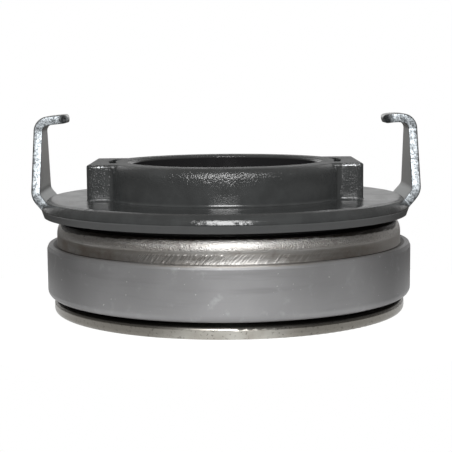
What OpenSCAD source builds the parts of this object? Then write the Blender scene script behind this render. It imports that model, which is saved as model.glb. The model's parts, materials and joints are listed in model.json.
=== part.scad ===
// Self-centring clutch release bearing.
// A cast carrier slides on a guide tube and takes the release fork between its lugs and two spring
// clips. Under its flange an angular-contact ball bearing floats sideways on a flat seat, held up by a
// disc spring, a support washer and a snap ring. The lower ring turns with the clutch fingers.
// The contact face lies at z = 0 and the guide bore runs along Z.

/* [Guide bore and spigot] */
// Diameter of the bore that slides on the guide tube
bore_d = 60; // [54:0.5:66]
// Lead-in chamfer at both ends of the bore
bore_chamfer = 1; // [0.4:0.1:1.6]
// Wall of the spigot that carries the bearing
spigot_wall = 4.5; // [4:0.1:6]
// Length of spigot left below the snap ring
spigot_land = 2.3; // [1.5:0.1:4]

/* [Collar and lugs] */
// Wall of the collar around the bore
collar_wall = 8.5; // [7:0.1:11]
// Height of the collar and the lugs above the flange
collar_h = 11.15; // [8:0.05:16]
// Rounding of the collar's top edge
collar_round = 2.8; // [0.5:0.1:4]
// Fillet where the collar and the lugs meet the flange
base_fillet = 0.7; // [0.4:0.1:3]
// How far each lug stands out beyond the collar
lug_reach = 3.8; // [3:0.1:6]
// Width of a lug from front to back
lug_w = 34.5; // [26:0.5:42]
// Rounding of a lug's upright corners
lug_corner = 2.2; // [1:0.1:3]
// Rounding of a lug's top edges
lug_edge = 0.9; // [0.3:0.1:1.5]
// Fillet between a lug's side and the collar
lug_blend = 2; // [1:0.1:3]
// Width of the curved recess in the top beside each lug
recess_w = 2.3; // [1.5:0.1:3.5]
// Depth of that recess
recess_depth = 2.4; // [1:0.1:4]
// Wall left between that recess and the bore
recess_wall = 4.5; // [3:0.1:5]
// Angle that the recess covers
recess_sweep = 28; // [20:1:50]

/* [Flange] */
// How far the flange stands out beyond the casing
flange_over = 0.6; // [0:0.1:3]
// Thickness of the flange
flange_t = 5.35; // [4.8:0.05:8]
// Rounding of the flange's top edge
flange_round = 3.1; // [1:0.1:3.2]
// Height of the drafted band along the lower edge of the rim
rim_band = 2.2; // [1:0.1:2.4]
// How far the drafted band leans in
rim_draft = 0.75; // [0.2:0.05:1.5]
// Height of the flat seat below the flange
seat_h = 1.9; // [1.5:0.1:4]
// How far the seat's edge lies inside the outer ring's edge
seat_inset = 6.3; // [4:0.1:8]

/* [Fork clips] */
// Sheet thickness of a clip
clip_t = 2.8; // [2:0.1:3.2]
// Width of a clip at the flange
clip_root_w = 26.6; // [20:0.2:30]
// Width of a clip at its hook
clip_top_w = 11.6; // [9:0.2:16]
// How far a clip's inner face lies inside the flange's edge
clip_inset = 1.3; // [0.5:0.1:2.5]
// Height of the clips above the flange, before the hook rises
clip_rise = 25.7; // [20:0.1:32]
// Reach of the hook inwards from the clip's outer face
hook_reach = 10.4; // [9:0.1:14]
// Inside radius of the hook's bend
hook_bend = 2; // [1:0.1:3]
// Rounding of the hook's two end corners
hook_corner = 3.6; // [1:0.1:4.5]
// Angle by which the left hook rises towards its end
left_hook_angle = 7; // [0:0.5:12]
// Angle by which the right hook rises towards its end
right_hook_angle = 2; // [0:0.5:12]
// Inside radius of the two bends at the foot
foot_bend = 3; // [2:0.1:4]
// Angle at which the foot leaves the upright
foot_angle = 40; // [30:1:50]
// Height above the flange where the foot starts to bend
foot_start = 2.55; // [2:0.05:5]
// Length of the flat end of the foot
foot_flat = 7.6; // [6.5:0.1:9]
// Diameter of the peg that holds each foot
peg_d = 5; // [3:0.1:5.5]

/* [Bearing] */
// Diameter of a ball
ball_d = 9.525; // [7.938:0.001:11.113]
// Number of balls
ball_count = 22; // [12:1:24]
// Wall of the turning ring inside its race
hub_wall = 4.14; // [3:0.02:6]
// Wall of the outer ring outside its race
ring_wall = 3.44; // [2.5:0.02:5]
// Height of the outer ring that shows above the casing
step_h = 6.9; // [5.3:0.1:8]
// How far the outer ring flares out to its seat in the casing
flare_out = 0.2; // [0.15:0.05:0.6]
// Radius of the flare's hollow curve
flare_round = 6.5; // [5:0.1:10]
// Depth of the flare's lower edge below the casing's top
flare_drop = 0.3; // [0.1:0.1:1]
// Radius of the crowned shoulder at the outer ring's top
crown_round = 6; // [4:0.1:9]
// Height of the crowned shoulder
crown_h = 3.5; // [2:0.1:3.7]
// Thickness of the web at the top of the outer ring
web_t = 3.7; // [3:0.1:4.5]
// Length of outer ring below the middle of the balls
ring_drop = 4.3; // [3.6:0.1:4.6]
// Depth by which each relieved race edge holds the balls
race_cover = 0.62; // [0.3:0.02:1]
// Height of the turning ring above the middle of the balls
hub_rise = 5; // [4:0.1:5.5]
// Clear height from the contact flange to the balls
ball_lift = 3.04; // [2.5:0.02:5]

/* [Casing] */
// Wall of the casing around the outer ring
casing_wall = 3; // [2.6:0.05:3.4]
// Rounding of the casing's top edge
casing_top_round = 0.2; // [0.1:0.1:1.6]
// Rounding of the casing's bottom edge
casing_bottom_round = 2.2; // [1:0.1:2.4]
// Height of the bevelled rim below the top edge
taper_h = 0.9; // [0.5:0.1:4]
// How far the bevelled rim leans in
taper_in = 0.4; // [0.04:0.02:0.6]
// Width of the casing's lip under the outer ring
casing_lip = 2; // [1:0.1:3]

/* [Contact ring] */
// Thickness of the contact flange
lip_t = 3.7; // [3:0.1:5]
// How far the contact flange lies inside the casing's edge
lip_inset = 2; // [1.5:0.1:4]
// Rounding of the contact flange's lower edge
lip_round = 1.3; // [0.4:0.1:1.6]
// Rounding of the contact flange's upper edge
lip_top_round = 1; // [0.3:0.1:1.2]
// Width of the flat ring that the clutch fingers touch
contact_w = 12; // [8:0.5:15]
// Depth of the face inside that ring
contact_relief = 0.8; // [0.3:0.1:1.5]
// Open height between the contact flange and the casing
running_gap = 1.35; // [1:0.05:2.5]

/* [Cage and seals] */
// Wall of the cage
cage_t = 1.6; // [1.2:0.1:2.4]
// Width of the cage's edge above and below the balls
cage_rail = 1.4; // [1:0.1:2.2]
// Thickness of the inner seal
seal_t = 1; // [0.8:0.1:1.6]
// Width of the outer seal's lip
seal_lip = 1.2; // [0.8:0.1:2]

/* [Spring stack] */
// Thickness of the disc spring
spring_t = 1; // [0.7:0.05:1.5]
// Height of the disc spring's cone
spring_cone = 1.55; // [0.8:0.05:2.5]
// Width of the disc spring
spring_w = 7.5; // [5:0.1:7.8]
// Thickness of the support washer
washer_t = 1.5; // [1:0.1:2.5]
// Width of the support washer
washer_w = 7.4; // [5:0.1:8.5]
// Thickness of the snap ring
snap_t = 1.75; // [1.2:0.05:2.5]
// Depth of the snap ring's groove
snap_depth = 1.5; // [1:0.1:2]
// Height of snap ring that stands out of the groove
snap_stand = 2.1; // [1.5:0.1:2.4]
// Open width between the snap ring's ends
snap_opening = 14; // [8:0.5:20]

/* [Float and clearances] */
// How far the bearing rests to the right of the bore's axis
float_offset = 1; // [-1.5:0.1:1.5]
// Free room around the spigot for the bearing's sideways float
float_room = 2.5; // [2.3:0.1:3]
// Gap between faces that slide on each other
slide_gap = 0.05; // [0.02:0.01:0.1]
// Gap around each ball in the races
race_gap = 0.1; // [0.05:0.01:0.2]
// Gap around each ball in the cage
pocket_gap = 0.15; // [0.1:0.01:0.3]
// Gap between the cage and the ring shoulders
cage_gap = 0.4; // [0.3:0.05:0.8]
// Gap between a seal and what turns past it
seal_gap = 0.5; // [0.3:0.05:0.8]
// Gap between the inner seal and the support washer
stack_gap = 1.05; // [0.5:0.05:2]
// Gap around pieces that are pressed or set in place
seat_gap = 0.02; // [0.01:0.01:0.1]
// Gap around each clip where it passes through the flange
clip_gap = 0.15; // [0.05:0.05:0.4]

/* [Hidden] */
$fn = 96;
overlap = 0.5;
reach = 200;

// Radii, from the guide bore outwards
bore_r = bore_d / 2;
ball_r = ball_d / 2;
spigot_r = bore_r + spigot_wall;
collar_r = bore_r + collar_wall;
float_r = spigot_r + float_room;
pitch_r = float_r + hub_wall + race_gap + ball_r;
ring_r = pitch_r + ball_r + race_gap + ring_wall;
body_r = ring_r + flare_out;
casing_r = body_r + casing_wall;
casing_lip_r = body_r - casing_lip;
flange_r = casing_r + flange_over;
lip_r = casing_r - lip_inset;
seat_r = ring_r - seat_inset;
outer_shoulder_r = pitch_r + cage_t / 2 + cage_gap;
inner_shoulder_r = pitch_r - cage_t / 2 - cage_gap;
outer_relief_r = pitch_r + ball_r - race_cover;
inner_relief_r = pitch_r - ball_r + race_cover;
seal_in_r = pitch_r + sqrt(max(0, pow(ball_r + seal_gap, 2) - pow(ring_drop, 2)));
lug_x = collar_r + lug_reach;
lug_root_x = sqrt(collar_r * collar_r - lug_w * lug_w / 4);

// Heights, from the contact face upwards
ball_z = lip_t + ball_lift + ball_r;
hub_top = ball_z + hub_rise;
ring_z = ball_z - ring_drop;
cage_half = ball_r + cage_rail;
seal_z = ball_z + cage_half + seal_gap;
washer_z = seal_z + seal_t + stack_gap;
snap_z = washer_z - snap_t;
spigot_z = snap_z - spigot_land;
spring_z = washer_z + washer_t + slide_gap;
web_z = spring_z + spring_t + spring_cone + slide_gap;
ring_top = web_z + web_t;
casing_z = lip_t + running_gap;
casing_top = ring_top - step_h;
flare_z = casing_top - flare_drop;
flare_h = sqrt(2 * flare_round * flare_out - flare_out * flare_out);
seat_z = ring_top + slide_gap;
flange_z = seat_z + seat_h;
flange_top = flange_z + flange_t;
collar_top = flange_top + collar_h;

// Bend centres of a clip, seen from the front with the clip on the right
clip_in_x = flange_r - clip_inset;
clip_out_x = clip_in_x + clip_t;
hook_x = clip_in_x - hook_bend;
hook_z = flange_top + clip_rise - hook_bend - clip_t;
foot_x = clip_in_x - foot_bend;
foot_z = flange_top + foot_start;
toe_z = seat_z + clip_t + foot_bend;
toe_run = (foot_z - toe_z) / cos(foot_angle);
toe_x = foot_x - toe_run * sin(foot_angle);
toe_end = toe_x - foot_flat;
peg_x = toe_x - foot_flat / 2;

function ball_angle(i) = (i + 0.5) * 360 / ball_count;
ball_names = [for (i = [1:ball_count]) str("ball_", i < 10 ? "0" : "", i)];

// Waste outside a rounded corner whose point is the origin, with the material to the lower left
module corner_waste(r) {
    difference() {
        translate([-r, -r]) square(r + overlap);
        translate([-r, -r]) circle(r);
        translate([-r - overlap, -r - overlap]) square([overlap, r + 2 * overlap]);
    }
}

// Concave fillet in the corner between a floor along +x and a wall along +y
module fillet(r) {
    difference() {
        translate([-overlap, -overlap]) square(r + overlap);
        translate([r, r]) circle(r);
    }
}

// Triangle that takes a chamfer off a corner at the origin, towards sx along x and sy along y
module chamfer_waste(c, sx, sy) {
    far = c + overlap;
    polygon([[-sx * overlap, -sy * overlap], [sx * far, -sy * overlap], [-sx * overlap, sy * far]]);
}

// Extrudes a profile drawn in x and z along y, centred
module along_y(w) {
    rotate([90, 0, 0]) linear_extrude(w, center = true) children();
}

// Extrudes a profile drawn in y and z along x, centred on x = 0
module along_x(w) {
    rotate([90, 0, 90]) linear_extrude(w, center = true) children();
}

// Children on the right and mirrored on the left
module both_sides() {
    children();
    mirror([1, 0, 0]) children();
}

// Bearing pieces rest beside the bore's axis by the float offset
module floated() {
    translate([float_offset, 0, 0]) children();
}

module carrier_profile() {
    difference() {
        union() {
            translate([bore_r, spigot_z]) square([spigot_wall, flange_top - spigot_z]);
            translate([bore_r, seat_z]) square([seat_r - bore_r, flange_top - seat_z]);
            polygon([
                [bore_r, flange_z],
                [flange_r - rim_draft, flange_z],
                [flange_r, flange_z + rim_band],
                [flange_r, flange_top],
                [bore_r, flange_top]
            ]);
            translate([bore_r, flange_z]) square([collar_wall, collar_top - flange_z]);
            translate([collar_r, flange_top]) fillet(base_fillet);
        }
        translate([flange_r, flange_top]) corner_waste(flange_round);
        translate([collar_r, collar_top]) corner_waste(collar_round);
        translate([spigot_r - snap_depth, snap_z - slide_gap])
            square([snap_depth + overlap, snap_t + slide_gap]);
        translate([bore_r, collar_top]) chamfer_waste(bore_chamfer, 1, -1);
        translate([bore_r, spigot_z]) chamfer_waste(bore_chamfer, 1, 1);
    }
}

// Plan of the right lug, with its outer corners rounded
module lug_plan() {
    root_x = bore_r + collar_wall / 4;
    translate([root_x, -lug_w / 2]) square([lug_x - lug_corner - root_x, lug_w]);
    translate([root_x, -lug_w / 2 + lug_corner]) square([lug_x - root_x, lug_w - 2 * lug_corner]);
    for (side = [-1, 1])
        translate([lug_x - lug_corner, side * (lug_w / 2 - lug_corner)]) circle(lug_corner);
}

// Plan of the upright fillet between the right lug's front side and the collar
module lug_blend_plan() {
    centre_y = -lug_w / 2 - lug_blend;
    centre_r = collar_r + lug_blend;
    centre_x = sqrt(centre_r * centre_r - centre_y * centre_y);
    difference() {
        polygon([
            [centre_x, centre_y],
            [centre_x, -lug_w / 2],
            [centre_x, -lug_w / 2 + overlap],
            [lug_root_x - overlap, -lug_w / 2 + overlap],
            [centre_x, centre_y] * (collar_r - overlap) / centre_r
        ]);
        translate([centre_x, centre_y]) circle(lug_blend);
    }
}

module lug() {
    height = collar_top - flange_z;
    intersection() {
        translate([0, 0, flange_z]) linear_extrude(height) lug_plan();
        along_y(lug_w + 2 * overlap) difference() {
            translate([0, flange_z]) square([lug_x, height]);
            translate([lug_x, collar_top]) corner_waste(lug_edge);
        }
        along_x(reach) difference() {
            translate([-lug_w / 2, flange_z]) square([lug_w, height]);
            translate([lug_w / 2, collar_top]) corner_waste(lug_edge);
            mirror([1, 0]) translate([lug_w / 2, collar_top]) corner_waste(lug_edge);
        }
    }
}

// Fillets around the foot of the right lug
module lug_fillets() {
    run = lug_x - lug_corner - lug_root_x;
    translate([lug_x, 0, flange_top]) along_y(lug_w - 2 * lug_corner) fillet(base_fillet);
    for (side = [0, 1]) mirror([0, side, 0]) {
        translate([lug_x - lug_corner - run / 2, lug_w / 2, flange_top]) along_x(run) fillet(base_fillet);
        translate([lug_x - lug_corner, lug_w / 2 - lug_corner, flange_top])
            rotate_extrude() translate([lug_corner, 0]) fillet(base_fillet);
        translate([0, 0, flange_z]) linear_extrude(collar_top - flange_z - lug_edge) lug_blend_plan();
    }
}

// Curved recess in the top beside the right lug
module recess() {
    inner = bore_r + recess_wall;
    translate([0, 0, collar_top - recess_depth]) {
        rotate([0, 0, -recess_sweep / 2]) rotate_extrude(angle = recess_sweep)
            translate([inner, 0]) square([recess_w, recess_depth + overlap]);
        for (side = [-1, 1]) rotate([0, 0, side * recess_sweep / 2])
            translate([inner + recess_w / 2, 0, 0]) cylinder(d = recess_w, h = recess_depth + overlap);
    }
}

// Way through the rim and pocket in the seat for the right clip's foot
module foot_way() {
    along_y(clip_root_w + 2 * clip_gap) polygon([
        [toe_end - clip_gap, seat_z - overlap],
        [toe_end - clip_gap, toe_z - foot_bend + clip_gap],
        [toe_x, toe_z - foot_bend + clip_gap],
        [toe_x, toe_z] + (foot_bend - clip_gap) * [cos(foot_angle), -sin(foot_angle)],
        [foot_x, foot_z] + (foot_bend - clip_gap) * [cos(foot_angle), -sin(foot_angle)],
        [reach, foot_z],
        [reach, seat_z - overlap]
    ]);
}

module carrier() color("#3e4243") {
    difference() {
        union() {
            rotate_extrude() carrier_profile();
            both_sides() {
                lug();
                lug_fillets();
            }
        }
        both_sides() {
            recess();
            foot_way();
        }
    }
    both_sides() translate([peg_x, 0, seat_z])
        cylinder(d = peg_d, h = clip_t + clip_gap + overlap);
}

// Area behind the face of the right clip that lies at radius r around the foot's two bends
module foot_area(r, left, top) {
    slope = [cos(foot_angle), -sin(foot_angle)];
    polygon([
        [left, top],
        [foot_x + r, top],
        [foot_x + r, foot_z],
        [foot_x, foot_z] + r * slope,
        [toe_x, toe_z] + r * slope,
        [toe_x, toe_z - r],
        [left, toe_z - r]
    ]);
    translate([foot_x, foot_z]) circle(r);
    translate([toe_x, toe_z]) circle(r);
}

// Side view of the right clip below its hook
module clip_upright_profile() {
    difference() {
        foot_area(foot_bend + clip_t, toe_end, hook_z);
        foot_area(foot_bend, toe_end - overlap, hook_z + overlap);
    }
}

// Area under the face of the right hook that lies at radius r around its bend
module hook_area(r, angle, run) {
    along = [-cos(angle), sin(angle)];
    out = [sin(angle), cos(angle)];
    translate([hook_x, hook_z]) {
        polygon([[r, 0], r * out, r * out + run * along, run * along - overlap * out, -overlap * out]);
        circle(r);
    }
}

// Side view of the right clip's hook, which rises by the given angle
module hook_profile(angle) {
    tip_x = clip_out_x - hook_reach;
    run = (hook_x + (hook_bend + clip_t / 2) * sin(angle) - tip_x) / cos(angle);
    intersection() {
        difference() {
            hook_area(hook_bend + clip_t, angle, run);
            hook_area(hook_bend, angle, run + overlap);
            translate([0, hook_z - overlap]) square([hook_x, overlap + hook_bend / 2]);
        }
        translate([0, hook_z]) square(reach);
    }
}

// Front-to-back outline of a clip's upright and foot
module clip_width() {
    polygon([
        [-clip_root_w / 2, seat_z - overlap],
        [clip_root_w / 2, seat_z - overlap],
        [clip_root_w / 2, flange_top],
        [clip_top_w / 2, hook_z],
        [-clip_top_w / 2, hook_z],
        [-clip_root_w / 2, flange_top]
    ]);
}

// Plan of the right hook, with its end corners rounded
module hook_plan() {
    tip_x = clip_out_x - hook_reach;
    translate([tip_x + hook_corner, -clip_top_w / 2]) square([hook_reach, clip_top_w]);
    translate([tip_x, -clip_top_w / 2 + hook_corner]) square([hook_reach, clip_top_w - 2 * hook_corner]);
    for (side = [-1, 1])
        translate([tip_x + hook_corner, side * (clip_top_w / 2 - hook_corner)]) circle(hook_corner);
}

module clip(angle) {
    difference() {
        union() {
            intersection() {
                along_y(clip_root_w) clip_upright_profile();
                translate([clip_in_x, 0, 0]) along_x(reach) clip_width();
            }
            intersection() {
                along_y(clip_top_w) hook_profile(angle);
                translate([0, 0, hook_z]) linear_extrude(reach) hook_plan();
            }
        }
        translate([peg_x, 0, seat_z - overlap]) cylinder(d = peg_d + 2 * seat_gap, h = clip_t + 2 * overlap);
    }
}

module clip_left() color("#c9d0d2") mirror([1, 0, 0]) clip(left_hook_angle);

module clip_right() color("#c9d0d2") clip(right_hook_angle);

module snap_ring() color("#55565a") translate([0, 0, snap_z]) difference() {
    cylinder(r = spigot_r + snap_stand, h = snap_t);
    translate([0, 0, -overlap]) cylinder(r = spigot_r - snap_depth + slide_gap, h = snap_t + 2 * overlap);
    translate([-snap_opening / 2, 0, -overlap]) cube([snap_opening, reach, snap_t + 2 * overlap]);
}

module support_washer() color("#8b8d8f") translate([0, 0, washer_z]) difference() {
    cylinder(r = spigot_r + washer_w, h = washer_t);
    translate([0, 0, -overlap]) cylinder(r = spigot_r + slide_gap, h = washer_t + 2 * overlap);
}

module disc_spring() color("#6e655c") floated() rotate_extrude() polygon([
    [float_r, spring_z],
    [float_r + spring_w, spring_z + spring_cone],
    [float_r + spring_w, spring_z + spring_cone + spring_t],
    [float_r, spring_z + spring_t]
]);

module ball_track() {
    translate([pitch_r, ball_z]) circle(ball_r + race_gap);
}

// Hollow curve from the outer ring's neck out to its seat in the casing
module flare() {
    difference() {
        translate([ring_r - overlap, flare_z - overlap]) square([flare_out + overlap, flare_h + overlap]);
        translate([ring_r + flare_round, flare_z + flare_h]) circle(flare_round);
    }
}

// Waste outside the crowned shoulder
module crown_waste() {
    translate([ring_r - crown_round, ring_top - crown_h]) difference() {
        square([crown_round + overlap, crown_h + overlap]);
        circle(crown_round);
    }
}

module outer_ring() color("#a79c90") floated() rotate_extrude() difference() {
    union() {
        translate([outer_relief_r, ring_z]) square([ring_r - outer_relief_r, ring_top - ring_z]);
        translate([outer_relief_r, ring_z]) square([body_r - outer_relief_r, flare_z - ring_z]);
        flare();
        translate([outer_shoulder_r, ball_z]) square([ring_r - outer_shoulder_r, ring_top - ball_z]);
        translate([float_r, web_z]) square([ring_r - float_r, web_t]);
    }
    crown_waste();
    ball_track();
}

module casing() color("#9a9c9e") floated() rotate_extrude() difference() {
    polygon([
        [casing_lip_r, casing_z],
        [casing_r, casing_z],
        [casing_r, casing_top - casing_top_round - taper_h],
        [casing_r - taper_in, casing_top - casing_top_round],
        [casing_r - taper_in, casing_top],
        [body_r + seat_gap, casing_top],
        [body_r + seat_gap, ring_z - seat_gap],
        [casing_lip_r, ring_z - seat_gap]
    ]);
    translate([casing_r - taper_in, casing_top]) corner_waste(casing_top_round);
    translate([casing_r, casing_z]) mirror([0, 1]) corner_waste(casing_bottom_round);
}

module outer_seal() color("#1b1b1c") floated() rotate_extrude() {
    translate([seal_in_r, casing_z]) square([casing_lip_r - seat_gap - seal_in_r, ring_z - casing_z]);
    translate([seal_in_r + seal_lip, lip_t + seal_gap]) square([seal_lip, ring_z - lip_t - seal_gap]);
}

module inner_seal() color("#26272a") floated() rotate_extrude() {
    hole_r = spigot_r + snap_stand + float_room + seal_gap;
    rim_r = outer_shoulder_r - seat_gap;
    translate([hole_r, seal_z]) square([rim_r - hole_r, seal_t]);
    translate([rim_r - seal_t, seal_z]) square([seal_t, 2 * seal_t]);
}

module contact_ring() color("#8f8678") floated() rotate_extrude() difference() {
    union() {
        translate([float_r, 0]) square([lip_r - float_r, lip_t]);
        translate([float_r, 0]) square([inner_shoulder_r - float_r, ball_z]);
        translate([float_r, 0]) square([inner_relief_r - float_r, hub_top]);
    }
    ball_track();
    translate([lip_r, 0]) mirror([0, 1]) corner_waste(lip_round);
    translate([lip_r, lip_t]) corner_waste(lip_top_round);
    translate([float_r - overlap, -overlap])
        square([lip_r - lip_round - contact_w - float_r + overlap, contact_relief + overlap]);
}

module cage() color("#8d8c86") floated() translate([0, 0, ball_z]) difference() {
    cylinder(r = pitch_r + cage_t / 2, h = 2 * cage_half, center = true);
    cylinder(r = pitch_r - cage_t / 2, h = 2 * cage_half + 2 * overlap, center = true);
    for (i = [0:ball_count - 1]) rotate([0, 0, ball_angle(i)]) translate([pitch_r, 0, 0])
        rotate([0, 90, 0]) cylinder(r = ball_r + pocket_gap, h = 2 * cage_t, center = true);
}

module ball(i) color("#c4c7ca") floated() rotate([0, 0, ball_angle(i)])
    translate([pitch_r, 0, ball_z]) sphere(ball_r);

carrier();
clip_left();
clip_right();
snap_ring();
support_washer();
disc_spring();
outer_ring();
casing();
outer_seal();
inner_seal();
contact_ring();
cage();
for (i = [0:ball_count - 1]) ball(i);
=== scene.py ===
"""Looks of a self-centring clutch release bearing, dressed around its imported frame.

Everything is in metres, in the part's own frame: the contact face lies at z = 0, the guide bore
runs along Z, and the two fork clips stand at the ends of the X axis.
"""

import json
import math
from types import SimpleNamespace

import bpy
import numpy as np
from mathutils import Matrix, Vector


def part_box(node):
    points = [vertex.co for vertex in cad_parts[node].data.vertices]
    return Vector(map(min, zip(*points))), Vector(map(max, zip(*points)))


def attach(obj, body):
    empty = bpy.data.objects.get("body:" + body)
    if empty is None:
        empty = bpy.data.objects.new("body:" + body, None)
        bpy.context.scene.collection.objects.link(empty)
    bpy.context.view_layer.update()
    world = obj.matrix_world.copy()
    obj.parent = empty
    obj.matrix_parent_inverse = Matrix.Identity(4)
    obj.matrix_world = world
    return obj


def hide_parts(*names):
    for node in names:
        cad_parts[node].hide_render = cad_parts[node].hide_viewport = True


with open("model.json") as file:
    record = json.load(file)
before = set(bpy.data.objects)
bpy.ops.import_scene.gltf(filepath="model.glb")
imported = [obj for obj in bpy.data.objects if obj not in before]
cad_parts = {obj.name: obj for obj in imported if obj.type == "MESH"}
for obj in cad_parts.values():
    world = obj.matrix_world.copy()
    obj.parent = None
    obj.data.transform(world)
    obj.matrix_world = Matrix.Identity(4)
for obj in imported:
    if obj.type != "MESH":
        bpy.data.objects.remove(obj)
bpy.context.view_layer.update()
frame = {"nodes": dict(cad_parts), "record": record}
MM = 0.001

# Places taken from the frame
MOUNTS = {mount["name"]: mount for mount in frame["record"]["mounts"]}
FLANGE_TOP = MOUNTS["fork_pad_right"]["pos_m"][2]
BORE_R = MOUNTS["guide_bore"]["dims"]["r_mm"] * MM
COLLAR_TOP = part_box("carrier")[1].z
RING_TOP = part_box("outer_ring")[1].z
CASING_LOW, CASING_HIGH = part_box("casing")
BEARING_X = (CASING_LOW.x + CASING_HIGH.x) / 2
CASING_R = (CASING_HIGH.x - CASING_LOW.x) / 2

# Sizes of the carrier that the finish follows
LUG_HALF_W = 17.25 * MM
LUG_X = 42.3 * MM
LUG_ROOT_X = 34.4 * MM
BASE_FILLET = 0.7 * MM
COLLAR_ROUND = 2.8 * MM
RIM_TURN = FLANGE_TOP - 3.1 * MM
RIM_BLUR = 0.3 * MM

# Sizes of the bearing that the finish follows
CROWN_H = 3.5 * MM
FLARE_TOP = CASING_HIGH.z + 2.8 * MM
BRIGHT_EDGE = CASING_HIGH.z - 0.5 * MM
SEAM_R = CASING_R - 1.9 * MM

# Sizes of a fork clip's bent sheet
SHEET_T = 2.8 * MM
CLIP_ROOT_W = 26.6 * MM
CLIP_TOP_W = 11.6 * MM
CLIP_RISE = 25.7 * MM
HOOK_REACH = 10.4 * MM
HOOK_BEND = 2.0 * MM
HOOK_CORNER = 3.6 * MM
FOOT_BEND = 3.0 * MM
FOOT_ANGLE = math.radians(40)
FOOT_START = 2.55 * MM
FOOT_FLAT = 7.6 * MM
ROLLED_EDGE = 0.55 * MM
SHEARED_EDGE = 0.22 * MM
NOSE_RUN = 0.45 * SHEET_T
NOSE_DROP = 0.8 * NOSE_RUN
NOSE_HALF_T = 0.12 * SHEET_T

# How each clip is bent: the hook's rise and droop, and how far its heel and top stand out
CLIPS = {
    "clip_left": {"mirror": True, "rise_angle": math.radians(7), "droop": 0.15 * MM,
                  "heel_out": 0.3 * MM, "top_out": 0.1 * MM},
    "clip_right": {"mirror": False, "rise_angle": math.radians(5), "droop": 1.0 * MM,
                   "heel_out": 0.9 * MM, "top_out": 0.6 * MM},
}

# Tints of the finishes, laid over a grey level
PAINT_TINT = (0.95, 1.0, 1.01)
CHIP_TINT = (0.97, 1.0, 1.02)
BORE_TINT = (1.0, 0.98, 1.03)
STEEL_TINT = (1.0, 0.98, 0.95)
WARM_STEEL_TINT = (1.0, 0.97, 0.94)
FILM_TINT = (1.0, 0.95, 0.89)
STAIN_TINT = (1.0, 0.87, 0.76)
NECK_SHADE_TINT = (1.0, 0.84, 0.71)
FLANGE_SHADOW_TINT = (1.0, 0.87, 0.75)
PHOSPHATE_TINT = (0.985, 0.985, 1.0)
SCUFF_TINT = (0.97, 0.98, 1.0)
RIM_FILM_TINT = (1.0, 0.93, 0.86)
SEAM_TINT = (1.0, 0.86, 0.74)
ZINC_TINT = (0.93, 1.0, 1.05)
SHEET_TINT = (0.99, 1.0, 0.99)

# The photograph's camera
IMAGE_PX = 452
FOCAL_PX = 1235.6
SENSOR_MM = 36.0
CAMERA_PLACE = Vector((0.175, -392.13, 71.67)) * MM
CAMERA_PITCH = math.radians(-6.71)
CAMERA_ROLL = math.radians(-0.49)

# Floor and light
FLOOR_R = 0.10
FLOOR_SIDES = 96
FLOOR_Z = -0.02 * MM
KEY_PLACE = (0.0, -0.713, 0.393)
KEY_AIM = (0.0, 0.0, 0.03)
KEY_SIZE = (0.30, 0.50)
KEY_WATTS = 5.3


# Shader node helpers

def add_node(tree, kind, inputs=None, **settings):
    """Adds one node, sets its properties, then fills or links the inputs given by name or number."""
    made = tree.nodes.new(kind)
    for name, value in settings.items():
        setattr(made, name, value)
    for key, value in (inputs or {}).items():
        if isinstance(value, bpy.types.NodeSocket):
            tree.links.new(value, made.inputs[key])
        else:
            made.inputs[key].default_value = value
    return made


def calc(tree, operation, a, b=0.0, clamp=False):
    """One arithmetic step on two values or sockets."""
    made = add_node(tree, "ShaderNodeMath", {0: a, 1: b}, operation=operation, use_clamp=clamp)
    return made.outputs[0]


def product(tree, first, *others):
    """All the values multiplied."""
    for other in others:
        first = calc(tree, "MULTIPLY", first, other)
    return first


def total(tree, first, *others):
    """All the values added."""
    for other in others:
        first = calc(tree, "ADD", first, other)
    return first


def largest(tree, first, *others):
    """The largest of the values."""
    for other in others:
        first = calc(tree, "MAXIMUM", first, other)
    return first


def unsigned(tree, value):
    """The value without its sign."""
    return calc(tree, "ABSOLUTE", value)


def distance(tree, a, b):
    """Length over two legs a and b at right angles."""
    return calc(tree, "SQRT", total(tree, product(tree, a, a), product(tree, b, b)))


def rise(tree, value, low, high):
    """A smooth step from 0 at low to 1 at high; low above high turns it round."""
    inputs = {"Value": value, "From Min": low, "From Max": high}
    return add_node(tree, "ShaderNodeMapRange", inputs, interpolation_type="SMOOTHSTEP").outputs["Result"]


def window(tree, value, start, full, fading, end):
    """Rises smoothly from start to full and falls again from fading to end."""
    return product(tree, rise(tree, value, start, full), rise(tree, value, end, fading))


def spread(tree, value, low, high):
    """A value between 0 and 1 laid over the range from low to high."""
    inputs = {"Value": value, "To Min": low, "To Max": high}
    return add_node(tree, "ShaderNodeMapRange", inputs).outputs["Result"]


def blend(tree, factor, first, second):
    """Mixes two colours by a factor."""
    made = add_node(tree, "ShaderNodeMix", {0: factor, 6: first, 7: second}, data_type="RGBA")
    return made.outputs[2]


def coat(tree, under, over, mask, share):
    """Lays one colour over another where a mask lets it, by no more than the share."""
    return blend(tree, product(tree, mask, share), under, over)


def blend_value(tree, factor, first, second):
    """Mixes two values by a factor."""
    return add_node(tree, "ShaderNodeMix", {0: factor, 2: first, 3: second}).outputs[0]


def grey(level, tint=(1.0, 1.0, 1.0)):
    """A colour of one level with a tint."""
    return (level * tint[0], level * tint[1], level * tint[2], 1.0)


def place(tree):
    """The point's own place on the part, as a vector and as x, y and z in metres."""
    coordinates = add_node(tree, "ShaderNodeTexCoord").outputs["Object"]
    return coordinates, add_node(tree, "ShaderNodeSeparateXYZ", {0: coordinates}).outputs


def noise(tree, vector, scale, detail=2.0, roughness=0.5):
    """Fractal noise between 0 and 1; scale is in bumps per metre."""
    inputs = {"Vector": vector, "Scale": scale, "Detail": detail, "Roughness": roughness}
    return add_node(tree, "ShaderNodeTexNoise", inputs).outputs[0]


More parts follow.
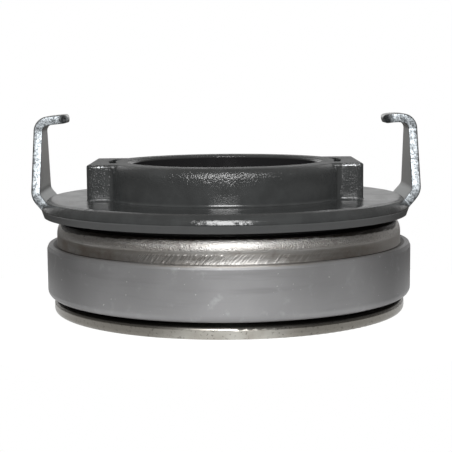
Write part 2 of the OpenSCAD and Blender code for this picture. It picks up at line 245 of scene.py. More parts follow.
def new_group(name, inputs, outputs):
    """A shared node group with value sockets; gives the group, its inputs and its output node."""
    group = bpy.data.node_groups.new(name, "ShaderNodeTree")
    for label, value in inputs.items():
        socket = group.interface.new_socket(label, in_out="INPUT", socket_type="NodeSocketFloat")
        socket.default_value = value
    for label in outputs:
        group.interface.new_socket(label, in_out="OUTPUT", socket_type="NodeSocketFloat")
    return group, group.nodes.new("NodeGroupInput").outputs, group.nodes.new("NodeGroupOutput")


def use_group(tree, group, **values):
    """Places a shared group; underscores in the given names stand for spaces."""
    inputs = {name.replace("_", " "): value for name, value in values.items()}
    return add_node(tree, "ShaderNodeGroup", inputs, node_tree=group).outputs


def new_material(name):
    """An empty material with its shader; gives the material, its tree and the Principled node."""
    material = bpy.data.materials.new(name)
    material.use_nodes = True
    tree = material.node_tree
    tree.nodes.clear()
    shader = add_node(tree, "ShaderNodeBsdfPrincipled")
    add_node(tree, "ShaderNodeOutputMaterial", {"Surface": shader.outputs[0]})
    return material, tree, shader


def wire(tree, shader, **values):
    """Sets or links the shader's inputs; underscores in the given names stand for spaces."""
    for name, value in values.items():
        socket = shader.inputs[name.replace("_", " ")]
        if isinstance(value, bpy.types.NodeSocket):
            tree.links.new(value, socket)
        else:
            socket.default_value = value


def bump(tree, height, depth):
    """A normal from a height between 0 and 1, where depth is the full height in metres."""
    inputs = {"Height": height, "Distance": depth, "Strength": 1.0}
    return add_node(tree, "ShaderNodeBump", inputs).outputs[0]


# Shared surface effects

def make_turning_marks():
    """Marks left by turning: noise over radius minus height, stretched round the bearing's axis.

    Also gives the point's radius, and how far round the ring it lies from the front, both in metres.
    """
    inputs = {"Axis X": 0.0, "Across": 4000.0, "Around": 40.0}
    group, given, out = new_group("turning_marks", inputs, ["Line", "Along", "Radius"])
    _, at = place(group)
    x = calc(group, "SUBTRACT", at[0], given["Axis X"])
    radius = distance(group, x, at[1])
    across = product(group, calc(group, "SUBTRACT", radius, at[2]), given["Across"])
    around_x = product(group, x, given["Around"])
    around_y = product(group, at[1], given["Around"])
    vector = add_node(group, "ShaderNodeCombineXYZ", {0: around_x, 1: around_y, 2: across}).outputs[0]
    angle = calc(group, "ARCTAN2", x, product(group, at[1], -1.0))
    group.links.new(noise(group, vector, 1.0, detail=3.0, roughness=0.65), out.inputs["Line"])
    group.links.new(product(group, angle, radius), out.inputs["Along"])
    group.links.new(radius, out.inputs["Radius"])
    return group


def make_blotches():
    """Soft uneven patches: fractal noise stretched to a mask between two levels."""
    inputs = {"Scale": 100.0, "Low": 0.4, "High": 0.6, "Detail": 3.0}
    group, given, out = new_group("blotches", inputs, ["Mask"])
    coordinates, _ = place(group)
    value = noise(group, coordinates, given["Scale"], detail=given["Detail"], roughness=0.6)
    group.links.new(rise(group, value, given["Low"], given["High"]), out.inputs["Mask"])
    return group


def make_cast_skin():
    """Skin of a painted casting: orange peel on top of slow hollows, as a height between 0 and 1."""
    inputs = {"Peel": 1400.0, "Hollow": 220.0, "Share": 0.5}
    group, given, out = new_group("cast_skin", inputs, ["Height"])
    coordinates, _ = place(group)
    peel = noise(group, coordinates, given["Peel"], detail=1.5)
    hollow = noise(group, coordinates, given["Hollow"], detail=2.0)
    group.links.new(blend_value(group, given["Share"], peel, hollow), out.inputs["Height"])
    return group


TURNING = make_turning_marks()
BLOTCHES = make_blotches()
CAST_SKIN = make_cast_skin()


# Finish of the carrier

def carrier_zones(tree, at):
    """Masks of the places on the carrier that wear or shine in their own way."""
    depth = unsigned(tree, at[1])
    aside = unsigned(tree, at[0])
    from_axis = distance(tree, at[0], at[1])

    def near_line(y, z, reach):
        """A mask round a line along X at that depth and height."""
        away = distance(tree, calc(tree, "SUBTRACT", depth, y), calc(tree, "SUBTRACT", at[2], z))
        return rise(tree, away, reach, 0.2 * reach)

    def height(low, high):
        """A smooth step between two heights."""
        return rise(tree, at[2], low, high)

    return SimpleNamespace(
        right=rise(tree, at[0], 0.0, 0.3 * LUG_X),
        bore=rise(tree, from_axis, BORE_R + 0.5 * MM, BORE_R + 0.1 * MM),
        lug=rise(tree, aside, LUG_ROOT_X, LUG_ROOT_X + 1.5 * MM),
        lug_end=rise(tree, aside, LUG_X - 3.0 * MM, LUG_X - 1.0 * MM),
        lug_top=height(COLLAR_TOP - 0.5 * MM, COLLAR_TOP - 0.1 * MM),
        top_edge=near_line(LUG_HALF_W - 0.2 * MM, COLLAR_TOP - 0.3 * MM, 1.2 * MM),
        base_edge=near_line(LUG_HALF_W + 0.2 * MM, FLANGE_TOP + 0.3 * BASE_FILLET, 0.7 * MM),
        beside_lug=rise(tree, aside, LUG_X - 6.0 * MM, LUG_X),
        collar_top=height(COLLAR_TOP - 2.3 * COLLAR_ROUND, COLLAR_TOP - COLLAR_ROUND),
        collar_wall=height(FLANGE_TOP + 2.0 * MM, FLANGE_TOP + 4.0 * MM),
        fillet=window(tree, at[2], FLANGE_TOP, FLANGE_TOP + 0.1 * MM,
                      FLANGE_TOP + BASE_FILLET, FLANGE_TOP + 2.0 * BASE_FILLET),
        flange_face=window(tree, at[2], FLANGE_TOP - 0.3 * MM, FLANGE_TOP - 0.1 * MM,
                           FLANGE_TOP - 0.05 * MM, FLANGE_TOP + 0.4 * MM),
        rim=height(FLANGE_TOP, FLANGE_TOP - 0.5 * MM),
        rim_round=height(RIM_TURN - RIM_BLUR, RIM_TURN + RIM_BLUR),
        rim_under=height(RIM_TURN + RIM_BLUR, RIM_TURN - RIM_BLUR),
    )


def lug_chips(tree, coordinates, zone):
    """Bare metal on the lugs' edges: specks of noise that show only where an edge lifts them.

    The lower edges are chipped mostly at their outer ends, and the right lug more than the left.
    """
    base = product(tree, zone.base_edge, spread(tree, zone.lug_end, 0.45, 1.0))
    edges = product(tree, largest(tree, zone.top_edge, base), zone.lug)
    wear = product(tree, edges, spread(tree, zone.right, 0.11, 0.17))
    specks = noise(tree, coordinates, 2300.0, detail=2.0, roughness=0.6)
    return product(tree, rise(tree, total(tree, specks, wear), 0.66, 0.7), edges)


def carrier_relief(tree, coordinates, zone):
    """Height of the cast skin: fine grit on the lugs, coarse at the collar's top, lumps on the rim.

    The flange's face and the bore are smooth; faint ripples run round the face and the rim.
    """
    skin = use_group(tree, CAST_SKIN, Peel=2300.0, Hollow=380.0, Share=0.2)["Height"]
    sparkle = rise(tree, noise(tree, coordinates, 2400.0, detail=1.0), 0.53, 0.76)
    lumps = use_group(tree, CAST_SKIN, Peel=900.0, Hollow=260.0, Share=0.4)["Height"]
    skin = blend_value(tree, zone.lug, skin, sparkle)
    skin = blend_value(tree, zone.rim, skin, product(tree, lumps, 1.5))
    depth = total(tree, spread(tree, zone.collar_wall, 0.03, 0.16), spread(tree, zone.collar_top, 0.0, 0.6))
    depth = blend_value(tree, zone.lug, depth, 0.32)
    depth = blend_value(tree, zone.rim, depth, spread(tree, zone.rim_round, 0.03, 0.22))
    rough = spread(tree, largest(tree, zone.flange_face, zone.bore), 1.0, 0.0)
    ripples = use_group(tree, TURNING, Axis_X=0.0, Across=1250.0, Around=30.0)["Line"]
    on_rim = product(tree, zone.rim, zone.rim_round, 0.3)
    rippled = total(tree, product(tree, zone.flange_face, 0.08), on_rim)
    return total(tree, product(tree, skin, depth, rough), product(tree, ripples, rippled))


def carrier_roughness(tree, patches, zone):
    """Semi-gloss in patches, duller on the lugs' tops and worn edges, beside them and under the rim."""
    root = product(tree, zone.base_edge, spread(tree, zone.right, 1.0, 0.5))
    worn = product(tree, largest(tree, root, product(tree, zone.top_edge, 0.45)), zone.lug)
    pad = product(tree, zone.flange_face, zone.beside_lug, 0.6)
    dull = largest(tree, zone.lug_top, pad, zone.rim_under, worn, product(tree, zone.fillet, 0.15))
    return total(tree, spread(tree, patches, 0.1, 0.16), product(tree, dull, 0.35))


def carrier_paint():
    """Dark semi-gloss paint over a gritty casting, bare in the bore, chipped along the lugs' edges."""
    material, tree, shader = new_material("carrier_paint")
    coordinates, at = place(tree)
    zone = carrier_zones(tree, at)
    chips = lug_chips(tree, coordinates, zone)
    patches = use_group(tree, BLOTCHES, Scale=160.0, Low=0.35, High=0.65)["Mask"]
    paint = blend(tree, patches, grey(0.046, PAINT_TINT), grey(0.058, PAINT_TINT))
    paint = blend(tree, zone.bore, paint, grey(0.02, BORE_TINT))
    wire(tree, shader,
         Base_Color=blend(tree, chips, paint, grey(0.62, CHIP_TINT)),
         Metallic=chips,
         Roughness=carrier_roughness(tree, patches, zone),
         Specular_IOR_Level=0.8,
         Normal=bump(tree, carrier_relief(tree, coordinates, zone), 0.36 * MM))
    return material


# Finish of the outer ring

def chatter_marks(tree, along, height):
    """Slanted tool marks on the flare: noise on long strokes that lean over.

    Gives the marks and their share, which is largest left of the front.
    """
    slant = calc(tree, "SUBTRACT", product(tree, along, 1500.0), product(tree, height, 1300.0))
    strokes = add_node(tree, "ShaderNodeCombineXYZ", {0: slant, 1: product(tree, height, 220.0)}).outputs[0]
    marks = rise(tree, noise(tree, strokes, 1.0, detail=1.0), 0.42, 0.62)
    on_flare = rise(tree, height, FLARE_TOP, FLARE_TOP - 0.6 * MM)
    strongest = window(tree, along, -30.0 * MM, -22.0 * MM, -10.0 * MM, 4.0 * MM)
    return marks, product(tree, on_flare, spread(tree, strongest, 0.2, 1.0))


def flange_shadow_film(tree, coordinates, round_way, height):
    """Painted shadow of the flange on the ring's top, laid as a dark brown film: deeper the further round
    it lies, broken by streaks of painted glints, and gone at the sides.
    """
    depth = total(tree, product(tree, round_way, 0.018), 0.45 * MM)
    depth = product(tree, depth, rise(tree, round_way, 76.0 * MM, 62.0 * MM))
    uneven = spread(tree, noise(tree, coordinates, 420.0, detail=3.0), -0.35 * MM, 0.35 * MM)
    inside = total(tree, calc(tree, "SUBTRACT", height, RING_TOP), depth, uneven)
    streaks = use_group(tree, TURNING, Axis_X=BEARING_X, Across=2200.0, Around=90.0)["Line"]
    # Streaks that thin the painted shadow stand in for glints inside the gap.
    wiped_and_painted_light = spread(tree, rise(tree, streaks, 0.6, 0.72), 1.0, 0.45)
    return product(tree, rise(tree, inside, 0.0, 0.5 * MM), wiped_and_painted_light)


def neck_side_shade(tree, round_way, height):
    """Painted shade in brown smudges on the neck below the crown, at both sides."""
    side = rise(tree, round_way, 22.0 * MM, 40.0 * MM)
    neck = rise(tree, height, RING_TOP - CROWN_H, RING_TOP - CROWN_H - 1.0 * MM)
    smudges = use_group(tree, BLOTCHES, Scale=130.0, Low=0.38, High=0.62, Detail=4.0)["Mask"]
    return product(tree, side, neck, spread(tree, smudges, 0.05, 0.7))


def turned_steel():
    """Turned bearing steel: a grainy crown, chatter marks on its flare and brown film in bands, with
    painted shade on the neck's sides, a painted shadow of the flange on the crown, and painted light at the
    right end.
    """
    material, tree, shader = new_material("turned_steel")
    coordinates, at = place(tree)
    turning = use_group(tree, TURNING, Axis_X=BEARING_X, Across=5200.0, Around=60.0)
    along = turning["Along"]
    round_way = unsigned(tree, along)
    crown = rise(tree, at[2], RING_TOP - 1.1 * CROWN_H, RING_TOP - 0.8 * CROWN_H)
    off_centre = rise(tree, round_way, 4.0 * MM, 20.0 * MM)
    grain = noise(tree, coordinates, 2400.0, detail=2.0, roughness=0.6)

    bands = use_group(tree, TURNING, Axis_X=BEARING_X, Across=700.0, Around=45.0)["Line"]
    stains = use_group(tree, BLOTCHES, Scale=320.0, Low=0.52, High=0.72, Detail=4.0)["Mask"]
    # Painted light: the ring is made lighter towards its right end.
    wiped_and_painted_light = window(tree, along, 36.0 * MM, 58.0 * MM, 90.0 * MM, 150.0 * MM)
    speckle = product(tree, rise(tree, grain, 0.46, 0.62), crown, off_centre)
    pits = rise(tree, noise(tree, coordinates, 1300.0, detail=3.0), 0.67, 0.73)
    steel = blend(tree, rise(tree, bands, 0.38, 0.66), grey(0.47, STEEL_TINT), grey(0.38, FILM_TINT))
    steel = coat(tree, steel, grey(0.2, STAIN_TINT), stains, 0.4)
    # Painted shade: brown smudges on the neck at both sides.
    steel = blend(tree, neck_side_shade(tree, round_way, at[2]), steel, grey(0.3, NECK_SHADE_TINT))
    steel = coat(tree, steel, grey(0.82, WARM_STEEL_TINT), wiped_and_painted_light, 0.7)
    steel = coat(tree, steel, grey(0.26, WARM_STEEL_TINT), speckle, 0.5)
    steel = coat(tree, steel, grey(0.1), pits, crown)
    # Painted shadow of the flange over the ring's top.
    steel = blend(tree, flange_shadow_film(tree, coordinates, round_way, at[2]), steel, grey(0.045, FLANGE_SHADOW_TINT))

    coarse = product(tree, grain, spread(tree, off_centre, 1.2, 3.0))
    texture = blend_value(tree, crown, product(tree, turning["Line"], 0.25), coarse)
    marks, marked = chatter_marks(tree, along, at[2])
    texture = blend_value(tree, marked, texture, product(tree, marks, 1.4))
    wire(tree, shader,
         Base_Color=steel,
         Metallic=1.0,
         Roughness=spread(tree, turning["Line"], 0.34, 0.48),
         Normal=bump(tree, texture, 0.1 * MM))
    return material


# Finish of the casing

def phosphate_coat(tree, coordinates, smears, round_way):
    """Colour of the grey phosphate: smeared, wiped in bands, darker round the sides as painted shade,
    lighter at the far ends as painted light, scuffed in front.
    """
    wiped_and_painted_light = use_group(tree, TURNING, Axis_X=BEARING_X, Across=330.0, Around=28.0)["Line"]
    side = rise(tree, round_way, 36.0 * MM, 62.0 * MM)
    lit_far_end = rise(tree, round_way, 50.0 * MM, 84.0 * MM)
    scuffs = use_group(tree, BLOTCHES, Scale=230.0, Low=0.56, High=0.74, Detail=6.0)["Mask"]
    scuffed = spread(tree, rise(tree, round_way, 24.0 * MM, 4.0 * MM), 0.25, 0.65)
    specks = rise(tree, noise(tree, coordinates, 1100.0, detail=1.0), 0.76, 0.8)
    colour = blend(tree, smears, grey(0.3, PHOSPHATE_TINT), grey(0.34, PHOSPHATE_TINT))
    colour = blend(tree, rise(tree, wiped_and_painted_light, 0.48, 0.74), colour, grey(0.275, PHOSPHATE_TINT))
    # Painted shade round the sides, then painted light at the far ends.
    colour = blend(tree, side, colour, grey(0.19, PHOSPHATE_TINT))
    colour = blend(tree, lit_far_end, colour, grey(0.36, PHOSPHATE_TINT))
    colour = coat(tree, colour, grey(0.47, SCUFF_TINT), scuffs, scuffed)
    return coat(tree, colour, grey(0.75), specks, 0.5)


def casing_finish():
    """Matte grey phosphate below a rim worn bright in front, with painted shade in the seam to the outer
    ring, deepest at the sides.
    """
    material, tree, shader = new_material("casing_finish")
    coordinates, at = place(tree)
    turning = use_group(tree, TURNING, Axis_X=BEARING_X, Across=4200.0, Around=50.0)
    lines = turning["Line"]
    round_way = unsigned(tree, turning["Along"])
    in_front = rise(tree, round_way, 36.0 * MM, 16.0 * MM)
    smears = use_group(tree, BLOTCHES, Scale=60.0, Low=0.3, High=0.75, Detail=5.0)["Mask"]
    film = use_group(tree, BLOTCHES, Scale=80.0, Low=0.35, High=0.7)["Mask"]

    ragged = spread(tree, noise(tree, coordinates, 700.0, detail=3.0), -0.1 * MM, 0.1 * MM)
    height = total(tree, at[2], ragged)
    bright = rise(tree, height, BRIGHT_EDGE - 0.05 * MM, BRIGHT_EDGE + 0.05 * MM)
    bright = product(tree, bright, spread(tree, in_front, 0.12, 1.0))
    # Painted shade in the seam between the casing and the outer ring.
    seam = rise(tree, turning["Radius"], SEAM_R + 0.3 * MM, SEAM_R - 0.3 * MM)
    steel = blend(tree, film, grey(0.35, STEEL_TINT), grey(0.26, RIM_FILM_TINT))
    surface = blend(tree, bright, phosphate_coat(tree, coordinates, smears, round_way), steel)
    surface = coat(tree, surface, grey(0.03, SEAM_TINT), seam, spread(tree, in_front, 1.0, 0.3))
    rough = blend_value(tree, bright, spread(tree, smears, 0.5, 0.58), spread(tree, lines, 0.45, 0.6))
    wire(tree, shader,
         Base_Color=surface,
         Metallic=spread(tree, bright, 0.6, 1.0),
         Roughness=rough,
         Normal=bump(tree, lines, 0.006 * MM))
    return material


# Finishes of the other pieces

def contact_steel():
    """Ground steel with an olive oil film, streaks round the ring and dark specks, darker at the sides as
    painted shade.
    """
    material, tree, shader = new_material("contact_steel")
    turning = use_group(tree, TURNING, Axis_X=BEARING_X, Across=6500.0, Around=70.0)
    lines = turning["Line"]
    film = use_group(tree, BLOTCHES, Scale=110.0, Low=0.35, High=0.65)["Mask"]
    specks = use_group(tree, BLOTCHES, Scale=1200.0, Low=0.58, High=0.7, Detail=2.0)["Mask"]
    side = rise(tree, unsigned(tree, turning["Along"]), 4.0 * MM, 26.0 * MM)
    steel = blend(tree, film, grey(0.47, (1.0, 0.98, 0.9)), grey(0.37, (1.0, 0.95, 0.85)))
    # Painted shade: the ring darkens towards its sides.
    steel = coat(tree, steel, grey(0.15, (1.0, 0.94, 0.83)), side, 0.85)
    steel = coat(tree, steel, grey(0.06, (1.0, 0.92, 0.8)), specks, 0.6)
    wire(tree, shader,
         Base_Color=steel,
         Metallic=1.0,
         Roughness=spread(tree, lines, 0.26, 0.42),
         Normal=bump(tree, lines, 0.014 * MM))
    return material


def clip_zinc():
    """Zinc on stamped sheet: plain grey faces that darken at the heel as painted shade, and cut edges with
    a pale bluish spangle and dark pits.
    """
    material, tree, shader = new_material("clip_zinc")
    coordinates, at = place(tree)
    cut = add_node(tree, "ShaderNodeAttribute", attribute_name="cut_edge").outputs["Fac"]
    spangle = noise(tree, coordinates, 1100.0, detail=3.0, roughness=0.7)
    pits = rise(tree, noise(tree, coordinates, 1700.0, detail=2.0), 0.52, 0.64)
    patches = use_group(tree, BLOTCHES, Scale=330.0, Low=0.4, High=0.6)["Mask"]
    pale = grey(0.57, ZINC_TINT)
    edge = blend(tree, rise(tree, spangle, 0.4, 0.62), grey(0.2, (0.92, 1.0, 1.06)), pale)
    edge = coat(tree, edge, pale, patches, 0.3)
    edge = coat(tree, edge, grey(0.07, (0.95, 1.0, 1.05)), pits, 0.8)
    face = blend(tree, spangle, grey(0.56, SHEET_TINT), grey(0.68, SHEET_TINT))
    # Painted shade: the faces darken low down at the heel bend, just above the flange.
    heel = rise(tree, at[2], FLANGE_TOP + 4.2 * MM, FLANGE_TOP + 2.4 * MM)
    face = blend(tree, heel, face, grey(0.28, (0.97, 1.0, 0.99)))
    relief = product(tree, spangle, spread(tree, cut, 0.15, 1.0))
    wire(tree, shader,
         Base_Color=blend(tree, cut, face, edge),
         Metallic=1.0,
         Roughness=spread(tree, spangle, 0.34, 0.52),
         Normal=bump(tree, relief, 0.06 * MM))
    return material


def spring_steel():
    """Dark oiled spring steel."""
    material, tree, shader = new_material("spring_steel")
    film = use_group(tree, BLOTCHES, Scale=200.0, Low=0.35, High=0.65)["Mask"]
    lines = use_group(tree, TURNING, Axis_X=0.0, Across=5000.0, Around=80.0)["Line"]
    wire(tree, shader,
         Base_Color=blend(tree, film, grey(0.2), grey(0.3, (1.0, 0.95, 0.88))),
         Metallic=1.0,
         Roughness=spread(tree, lines, 0.3, 0.5),
         Normal=bump(tree, lines, 0.01 * MM))
    return material


def pressed_steel():
    """Pressed sheet of the ball cage, slightly dulled."""
    material, tree, shader = new_material("pressed_steel")
    film = use_group(tree, BLOTCHES, Scale=300.0, Low=0.35, High=0.65)["Mask"]
    wire(tree, shader,
         Base_Color=blend(tree, film, grey(0.38), grey(0.28, (1.0, 0.96, 0.9))),
         Metallic=1.0,
         Roughness=spread(tree, film, 0.35, 0.5))
    return material


def ball_steel():
    """Polished steel with a faint grease haze."""
    material, tree, shader = new_material("ball_steel")
    haze = use_group(tree, BLOTCHES, Scale=350.0, Low=0.4, High=0.7)["Mask"]
    wire(tree, shader,
         Base_Color=blend(tree, haze, grey(0.72), grey(0.6, (1.0, 0.97, 0.92))),
         Metallic=1.0,
         Roughness=spread(tree, haze, 0.06, 0.22))
    return material


def seal_rubber():
    """Matte black rubber with a dusty bloom."""
    material, tree, shader = new_material("seal_rubber")
    bloom = use_group(tree, BLOTCHES, Scale=400.0, Low=0.4, High=0.8)["Mask"]
    lines = use_group(tree, TURNING, Axis_X=BEARING_X, Across=3000.0, Around=60.0)["Line"]
    wire(tree, shader,
         Base_Color=blend(tree, bloom, grey(0.008), grey(0.02)),
         Roughness=spread(tree, bloom, 0.5, 0.7),
         Normal=bump(tree, lines, 0.01 * MM))
    return material


# Fork clips: a rounded section carried along the bent sheet's middle line

def arc(centre, radius, start, end, steps):
    """Points and directions of travel on a circle from one angle to another, as whole arrays."""
    angle = np.linspace(start, end, steps)
    turn = np.sign(end - start)
    point = np.stack([centre[0] + radius * np.cos(angle), centre[1] + radius * np.sin(angle)], axis=1)
    along = turn * np.stack([-np.sin(angle), np.cos(angle)], axis=1)
    return point, along


def straight(start, end, steps):
    """Evenly spaced points between two ends, without the ends, and their direction."""
    share = np.linspace(0.0, 1.0, steps + 2)[1:-1, None]
    start, end = np.asarray(start), np.asarray(end)
    way = (end - start) / np.linalg.norm(end - start)
    return start + share * (end - start), np.repeat(way[None, :], steps, axis=0)


def drooping(root, run, rise_angle, droop, steps):
    """Points and directions from a root towards -x, without the root.

    The height climbs at the rise angle, less the droop times the square of the share of the way.
    """
    share = np.linspace(0.0, 1.0, steps + 1)[1:, None]
    climb = math.tan(rise_angle)
    x = root[0] - run * share
    z = root[1] + run * climb * share - droop * share ** 2
    way = np.concatenate([-np.ones_like(share), climb - 2 * droop / run * share], axis=1)
    way /= np.linalg.norm(way, axis=1)[:, None]
    return np.concatenate([x, z], axis=1), way


def clip_middle_line(rise_angle, droop, heel_out, top_out):
    """Middle line of the right clip in x and z: foot, two bends, upright, hook bend and hook.

    The hook leaves its bend at the rise angle and curves down towards its end by the droop. The slope
    runs on by heel_out and the hook stands out by top_out, so the upright leans.
    """
    low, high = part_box("clip_right")
    inner_x = high.x - SHEET_T
    foot_r = FOOT_BEND + SHEET_T / 2
    hook_r = HOOK_BEND + SHEET_T / 2
    toe = (low.x + FOOT_FLAT, low.z + SHEET_T + FOOT_BEND)
    heel_z = FLANGE_TOP + FOOT_START + heel_out / math.tan(FOOT_ANGLE)
    heel = (inner_x - FOOT_BEND + heel_out, heel_z)
    hook = (inner_x - HOOK_BEND + top_out, FLANGE_TOP + CLIP_RISE - HOOK_BEND - SHEET_T)
    lean = math.atan2(heel[0] + foot_r - hook[0] - hook_r, hook[1] - heel[1])
    start = (low.x, toe[1] - foot_r)
    end_x = high.x - HOOK_REACH + top_out

    toe_bend = arc(toe, foot_r, -math.pi / 2, -FOOT_ANGLE, 10)
    heel_bend = arc(heel, foot_r, -FOOT_ANGLE, lean, 10)
    hook_bend = arc(hook, hook_r, lean, math.pi / 2 - rise_angle, 20)
    hook_root = hook_bend[0][-1]
    parts = [
        (np.array([start]), np.array([[1.0, 0.0]])),
        straight(start, toe_bend[0][0], 6),
        toe_bend,
        straight(toe_bend[0][-1], heel_bend[0][0], 5),
        heel_bend,
        straight(heel_bend[0][-1], hook_bend[0][0], 26),
        hook_bend,
        drooping(hook_root, hook_root[0] - end_x, rise_angle, droop, 26),
    ]
    point = np.concatenate([part[0] for part in parts])
    along = np.concatenate([part[1] for part in parts])
    return point, along, hook[1]


def clip_section(half_w, half_t):
    """Closed section of the sheet for every place along it, across (y) and through (n).

    Each corner is a quarter circle; the outer face's edges are rolled over and the inner face's are
    sheared. A row of points crosses each face between its corners.
    """
    quarter = np.linspace(0.0, math.pi / 2, 6)
    crossing = np.linspace(1.0, -1.0, 10)[None, 1:-1]
    across, through = [], []
    for face, first_side, radius in ((1, 1, ROLLED_EDGE), (-1, -1, SHEARED_EDGE)):
        reach = np.minimum(radius, 0.9 * half_t)[:, None]
        flat_w = half_w[:, None] - reach
        flat_t = half_t[:, None] - reach
        first_angle = quarter + (0.0 if face > 0 else math.pi)
        second_angle = first_angle + math.pi / 2
        first_through = face * flat_t + reach * np.sin(first_angle)
        across.append(first_side * flat_w + reach * np.cos(first_angle))
        across.append(first_side * flat_w * crossing)
        across.append(-first_side * flat_w + reach * np.cos(second_angle))
        through.append(first_through)
        through.append(np.repeat(first_through[:, -1:], crossing.shape[1], axis=1))
        through.append(face * flat_t + reach * np.sin(second_angle))
    return np.concatenate(across, axis=1), np.concatenate(through, axis=1)


def clip_mesh(name, mirror, rise_angle, droop, heel_out, top_out):
    """One clip: the section's y and n laid at right angles to the middle line.

    The width tapers with the height up to the hook. At the end the corners are quarter circles, and
    the sheet thins along an ellipse. Points on the cut edges carry the attribute cut_edge.
    """
    point, along, hook_z = clip_middle_line(rise_angle, droop, heel_out, top_out)
    length = np.concatenate([[0.0], np.cumsum(np.linalg.norm(np.diff(point, axis=0), axis=1))])
    to_end = length[-1] - length
    share = np.clip((point[:, 1] - FLANGE_TOP) / (hook_z - FLANGE_TOP), 0.0, 1.0)
    share[np.argmax(share):] = 1.0
    half_w = (CLIP_ROOT_W + (CLIP_TOP_W - CLIP_ROOT_W) * share) / 2
    corner = np.clip(HOOK_CORNER - to_end, 0.0, HOOK_CORNER)
    half_w = half_w - HOOK_CORNER + np.sqrt(HOOK_CORNER ** 2 - corner ** 2)
    into_nose = np.clip(1.0 - to_end / NOSE_RUN, 0.0, 1.0)
    half_t = SHEET_T / 2 - NOSE_DROP * (1.0 - np.sqrt(1.0 - into_nose ** 2))
    half_t = np.maximum(half_t, NOSE_HALF_T)
    across, through = clip_section(half_w, half_t)
    normal = np.stack([along[:, 1], -along[:, 0]], axis=1)
    x = point[:, :1] + normal[:, :1] * through
    z = point[:, 1:] + normal[:, 1:] * through
    sign = -1.0 if mirror else 1.0
    piece = tube_mesh(name, np.stack([sign * x, across, z], axis=2), flip=mirror)
    cut_edge = (np.abs(across) > half_w[:, None] - SHEARED_EDGE).astype(np.float32)
    piece.data.attributes.new("cut_edge", "FLOAT", "POINT").data.foreach_set("value", cut_edge.ravel())
    return piece


def tube_mesh(name, grid, flip):
    """A closed skin from rings of points: quads between neighbouring rings and one face over each end."""
    rings, sides, _ = grid.shape
    index = np.arange(rings * sides).reshape(rings, sides)
    ahead = np.roll(index, -1, axis=1)
    quads = np.stack([index[:-1], ahead[:-1], ahead[1:], index[1:]], axis=2).reshape(-1, 4)
    ends = np.stack([index[0][::-1], index[-1]])
    if flip:
        quads = quads[:, ::-1]
        ends = ends[:, ::-1]
    mesh = bpy.data.meshes.new(name)
    mesh.from_pydata(grid.reshape(-1, 3).tolist(), [], quads.tolist() + ends.tolist())
    mesh.validate()
    mesh.polygons.foreach_set("use_smooth", np.ones(len(mesh.polygons), dtype=bool))
    mesh.set_sharp_from_angle(angle=math.radians(40))
    piece = bpy.data.objects.new(name, mesh)
    bpy.context.scene.collection.objects.link(piece)
    return piece


# Stage: floor, surroundings, light and camera

def light_rays(tree):
    """Camera rays, and all rays that see a thing directly, in a mirror or through glass, as 0 or 1."""
    path = add_node(tree, "ShaderNodeLightPath").outputs
    seen = calc(tree, "ADD", path["Is Camera Ray"], path["Is Glossy Ray"], clamp=True)
    return path["Is Camera Ray"], calc(tree, "ADD", seen, path["Is Transmission Ray"], clamp=True)


def make_floor():
    """Pale round floor: matte, so it keeps the shadow, white where it is looked at, clear from below."""
    angle = np.linspace(0.0, 2 * math.pi, FLOOR_SIDES, endpoint=False)
    height = np.full(FLOOR_SIDES, FLOOR_Z)
    rim = np.stack([FLOOR_R * np.cos(angle), FLOOR_R * np.sin(angle), height], axis=1)
    mesh = bpy.data.meshes.new("floor")
    mesh.from_pydata(rim.tolist(), [], [list(range(FLOOR_SIDES))])
    floor = bpy.data.objects.new("floor", mesh)
    bpy.context.scene.collection.objects.link(floor)
    material = bpy.data.materials.new("pale_floor")
    material.use_nodes = True
    tree = material.node_tree
    tree.nodes.clear()
    coordinates, _ = place(tree)
    away = add_node(tree, "ShaderNodeVectorMath", {0: coordinates}, operation="LENGTH").outputs["Value"]
    # Painted shade: the white the floor gives off is a little dimmer round the part, rising to full white
    # at its edge.
    level = spread(tree, rise(tree, away, 0.5 * FLOOR_R, FLOOR_R), 0.92, 1.0)
    _, seen = light_rays(tree)
    matte = add_node(tree, "ShaderNodeBsdfDiffuse", {"Color": grey(0.3)}).outputs[0]
    white = add_node(tree, "ShaderNodeEmission", {"Strength": product(tree, seen, level)}).outputs[0]
    both = add_node(tree, "ShaderNodeAddShader", {0: matte, 1: white}).outputs[0]
    clear = add_node(tree, "ShaderNodeBsdfTransparent").outputs[0]
    from_below = add_node(tree, "ShaderNodeNewGeometry").outputs["Backfacing"]
    surface = add_node(tree, "ShaderNodeMixShader", {0: from_below, 1: both, 2: clear}).outputs[0]
    add_node(tree, "ShaderNodeOutputMaterial", {"Surface": surface})
    mesh.materials.append(material)


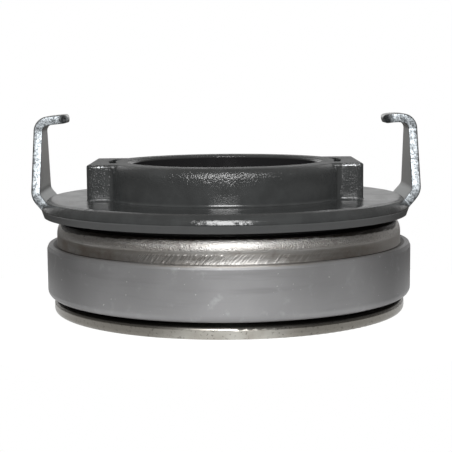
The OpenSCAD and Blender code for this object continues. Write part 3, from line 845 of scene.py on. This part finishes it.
def make_surroundings():
    """A white backdrop behind the part, a dim warm room elsewhere; the camera itself sees only white."""
    world = bpy.data.worlds.new("studio")
    world.use_nodes = True
    tree = world.node_tree
    tree.nodes.clear()
    way = add_node(tree, "ShaderNodeTexCoord").outputs["Generated"]
    toward = add_node(tree, "ShaderNodeSeparateXYZ", {0: way}).outputs
    upright = window(tree, toward[2], -0.02, 0.03, 0.35, 0.55)
    behind = product(tree, rise(tree, toward[1], 0.6, 0.95), upright)
    camera, seen = light_rays(tree)
    white = largest(tree, camera, product(tree, seen, behind))
    low_wall = grey(0.13, (1.0, 0.97, 0.93))
    high_wall = grey(0.19, (1.0, 0.97, 0.94))
    walls = blend(tree, rise(tree, toward[2], 0.1, 0.4), low_wall, high_wall)
    room = blend(tree, behind, walls, grey(0.15))
    colour = blend(tree, white, room, grey(1.0))
    shader = add_node(tree, "ShaderNodeBackground", {"Color": colour, "Strength": 1.0}).outputs[0]
    add_node(tree, "ShaderNodeOutputWorld", {"Surface": shader})
    bpy.context.scene.world = world


def make_key_light():
    """One tall soft light in front of the part and above it."""
    lamp = bpy.data.lights.new("key_softbox", "AREA")
    lamp.shape = "RECTANGLE"
    lamp.size, lamp.size_y = KEY_SIZE
    lamp.energy = KEY_WATTS
    softbox = bpy.data.objects.new("key_softbox", lamp)
    softbox.location = KEY_PLACE
    softbox.rotation_euler = (Vector(KEY_AIM) - Vector(KEY_PLACE)).to_track_quat("-Z", "Y").to_euler()
    softbox.visible_camera = False
    bpy.context.scene.collection.objects.link(softbox)


def make_camera():
    """The photograph's camera: in front, a little above, pitched down and rolled by a hair."""
    lens = bpy.data.cameras.new("camera")
    lens.sensor_width = SENSOR_MM
    lens.lens = FOCAL_PX / IMAGE_PX * SENSOR_MM
    lens.clip_start = 0.01
    lens.clip_end = 50.0
    camera = bpy.data.objects.new("camera", lens)
    upright = Matrix.Rotation(math.pi / 2 + CAMERA_PITCH, 4, "X")
    camera.matrix_world = Matrix.Translation(CAMERA_PLACE) @ upright @ Matrix.Rotation(CAMERA_ROLL, 4, "Z")
    bpy.context.scene.collection.objects.link(camera)
    bpy.context.scene.camera = camera


# Building the scene

make_camera()
bpy.context.scene.view_settings.view_transform = "Standard"
make_surroundings()
make_floor()
make_key_light()

ZINC = clip_zinc()
FINISHES = [
    (carrier_paint(), ["carrier"]),
    (turned_steel(), ["outer_ring"]),
    (casing_finish(), ["casing"]),
    (contact_steel(), ["contact_ring"]),
    (pressed_steel(), ["cage"]),
    (spring_steel(), ["snap_ring", "support_washer", "disc_spring"]),
    (seal_rubber(), ["outer_seal", "inner_seal"]),
    (ball_steel(), [name for name in frame["nodes"] if name.startswith("ball_")]),
    (ZINC, list(CLIPS)),
]
for finish, names in FINISHES:
    for name in names:
        mesh = frame["nodes"][name].data
        mesh.materials.clear()
        mesh.materials.append(finish)

for node, form in CLIPS.items():
    piece = clip_mesh(node + "_sheet", **form)
    piece.data.materials.append(ZINC)
    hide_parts(node)
    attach(piece, "carrier")
